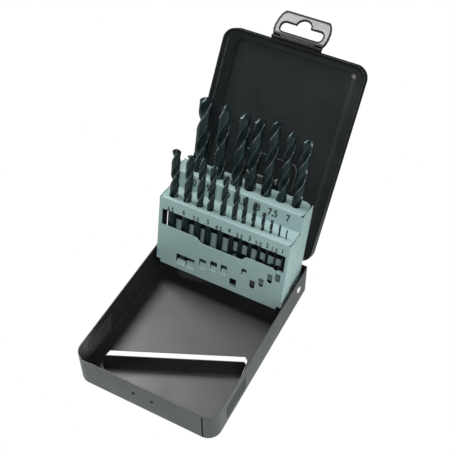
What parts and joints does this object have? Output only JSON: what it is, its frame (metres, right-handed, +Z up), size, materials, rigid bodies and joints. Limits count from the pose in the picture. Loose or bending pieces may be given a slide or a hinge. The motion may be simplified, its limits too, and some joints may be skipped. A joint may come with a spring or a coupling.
{
  "type": "drill bit drawer case",
  "caption": "Folding pressed-steel drill bit case: opening the lid swings a stepped drill holder upright out of the tray.",
  "frame": {"origin": "centre of the tray's underside", "axes": "+Z up, -Y towards the front of the tray, X along the lid's hinge"},
  "size_m": [0.114, 0.2526, 0.169],
  "materials": {
    "case_black": "satin black paint",
    "holder_grey": "satin pale blue-grey paint",
    "bare_steel": "bright steel",
    "link_steel": "satin black paint",
    "drill_oxide": "black steam oxide",
    "smoke_plastic": "clear smoke"
  },
  "bodies": {
    "case": {"base_tray": "case_black", "hinge_pin": "case_black", "pivot_bracket_left": "case_black", "pivot_bracket_right": "case_black", "bracket_rivet_left": "bare_steel", "bracket_rivet_right": "bare_steel"},
    "lid": {"lid_pan": "case_black", "lid_bracket": "link_steel", "link_pin": "bare_steel", "hanger_clip": "case_black", "hanger_pin": "bare_steel"},
    "holder": {"index_front_shell": "holder_grey", "index_rear_shell": "holder_grey"},
    "link": {"lift_link": "link_steel"},
    "hanger": {"hanger_tab": "smoke_plastic"},
    "drill_6_5_body": {"drill_6_5": "drill_oxide"},
    "drill_6_0_body": {"drill_6_0": "drill_oxide"},
    "drill_5_5_body": {"drill_5_5": "drill_oxide"},
    "drill_5_0_body": {"drill_5_0": "drill_oxide"},
    "drill_4_5_body": {"drill_4_5": "drill_oxide"},
    "drill_4_0_body": {"drill_4_0": "drill_oxide"},
    "drill_3_5_body": {"drill_3_5": "drill_oxide"},
    "drill_3_0_body": {"drill_3_0": "drill_oxide"},
    "drill_2_5_body": {"drill_2_5": "drill_oxide"},
    "drill_2_0_body": {"drill_2_0": "drill_oxide"},
    "drill_1_5_body": {"drill_1_5": "drill_oxide"},
    "drill_1_0_body": {"drill_1_0": "drill_oxide"},
    "drill_10_0_body": {"drill_10_0": "drill_oxide"},
    "drill_9_5_body": {"drill_9_5": "drill_oxide"},
    "drill_9_0_body": {"drill_9_0": "drill_oxide"},
    "drill_8_5_body": {"drill_8_5": "drill_oxide"},
    "drill_8_0_body": {"drill_8_0": "drill_oxide"},
    "drill_7_5_body": {"drill_7_5": "drill_oxide"},
    "drill_7_0_body": {"drill_7_0": "drill_oxide"}
  },
  "joints": [
    {"name": "lid_hinge", "type": "hinge", "parent": "case", "child": "lid", "pos_m": [0, 0.0763, 0.0302], "axis": [-1, 0, 0], "range_deg": [-122.5, 0]},
    {"name": "holder_pivot", "type": "hinge", "parent": "case", "child": "holder", "pos_m": [0, 0.05498, 0.02335], "axis": [-1, 0, 0], "range_deg": [-104.1, 0]},
    {"name": "link_swing", "type": "hinge", "parent": "lid", "child": "link", "pos_m": [0, 0.10605, 0.06926], "axis": [1, 0, 0], "range_deg": [-99.8, 0]},
    {"name": "hanger_fold", "type": "hinge", "parent": "lid", "child": "hanger", "pos_m": [0, 0.15784, 0.15931], "axis": [1, 0, 0], "range_deg": [0, 123]},
    {"name": "drill_6_5_slide", "type": "slide", "parent": "holder", "child": "drill_6_5_body", "axis": [0, 0.2079, 0.9781], "range_m": [0, 0.0648]},
    {"name": "drill_6_0_slide", "type": "slide", "parent": "holder", "child": "drill_6_0_body", "axis": [0, 0.2079, 0.9781], "range_m": [0, 0.0576]},
    {"name": "drill_5_5_slide", "type": "slide", "parent": "holder", "child": "drill_5_5_body", "axis": [0, 0.2079, 0.9781], "range_m": [0, 0.0558]},
    {"name": "drill_5_0_slide", "type": "slide", "parent": "holder", "child": "drill_5_0_body", "axis": [0, 0.2079, 0.9781], "range_m": [0, 0.0517]},
    {"name": "drill_4_5_slide", "type": "slide", "parent": "holder", "child": "drill_4_5_body", "axis": [0, 0.2079, 0.9781], "range_m": [0, 0.0507]},
    {"name": "drill_4_0_slide", "type": "slide", "parent": "holder", "child": "drill_4_0_body", "axis": [0, 0.2079, 0.9781], "range_m": [0, 0.0489]},
    {"name": "drill_3_5_slide", "type": "slide", "parent": "holder", "child": "drill_3_5_body", "axis": [0, 0.2079, 0.9781], "range_m": [0, 0.0516]},
    {"name": "drill_3_0_slide", "type": "slide", "parent": "holder", "child": "drill_3_0_body", "axis": [0, 0.2079, 0.9781], "range_m": [0, 0.0442]},
    {"name": "drill_2_5_slide", "type": "slide", "parent": "holder", "child": "drill_2_5_body", "axis": [0, 0.2079, 0.9781], "range_m": [0, 0.0459]},
    {"name": "drill_2_0_slide", "type": "slide", "parent": "holder", "child": "drill_2_0_body", "axis": [0, 0.2079, 0.9781], "range_m": [0, 0.0416]},
    {"name": "drill_1_5_slide", "type": "slide", "parent": "holder", "child": "drill_1_5_body", "axis": [0, 0.2079, 0.9781], "range_m": [0, 0.034]},
    {"name": "drill_1_0_slide", "type": "slide", "parent": "holder", "child": "drill_1_0_body", "axis": [0, 0.2079, 0.9781], "range_m": [0, 0.0304]},
    {"name": "drill_10_0_slide", "type": "slide", "parent": "holder", "child": "drill_10_0_body", "axis": [0, 0.2504, 0.9681], "range_m": [0, 0.0784]},
    {"name": "drill_9_5_slide", "type": "slide", "parent": "holder", "child": "drill_9_5_body", "axis": [0, 0.2504, 0.9681], "range_m": [0, 0.0712]},
    {"name": "drill_9_0_slide", "type": "slide", "parent": "holder", "child": "drill_9_0_body", "axis": [0, 0.2504, 0.9681], "range_m": [0, 0.0726]},
    {"name": "drill_8_5_slide", "type": "slide", "parent": "holder", "child": "drill_8_5_body", "axis": [0, 0.2504, 0.9681], "range_m": [0, 0.0648]},
    {"name": "drill_8_0_slide", "type": "slide", "parent": "holder", "child": "drill_8_0_body", "axis": [0, 0.2504, 0.9681], "range_m": [0, 0.0623]},
    {"name": "drill_7_5_slide", "type": "slide", "parent": "holder", "child": "drill_7_5_body", "axis": [0, 0.2504, 0.9681], "range_m": [0, 0.0583]},
    {"name": "drill_7_0_slide", "type": "slide", "parent": "holder", "child": "drill_7_0_body", "axis": [0, 0.2504, 0.9681], "range_m": [0, 0.0596]}
  ],
  "couplings": [
    {"joint": "holder_pivot", "follows": "lid_hinge", "ratio": 0.84898},
    {"joint": "link_swing", "follows": "lid_hinge", "ratio": 0.81402}
  ]
}
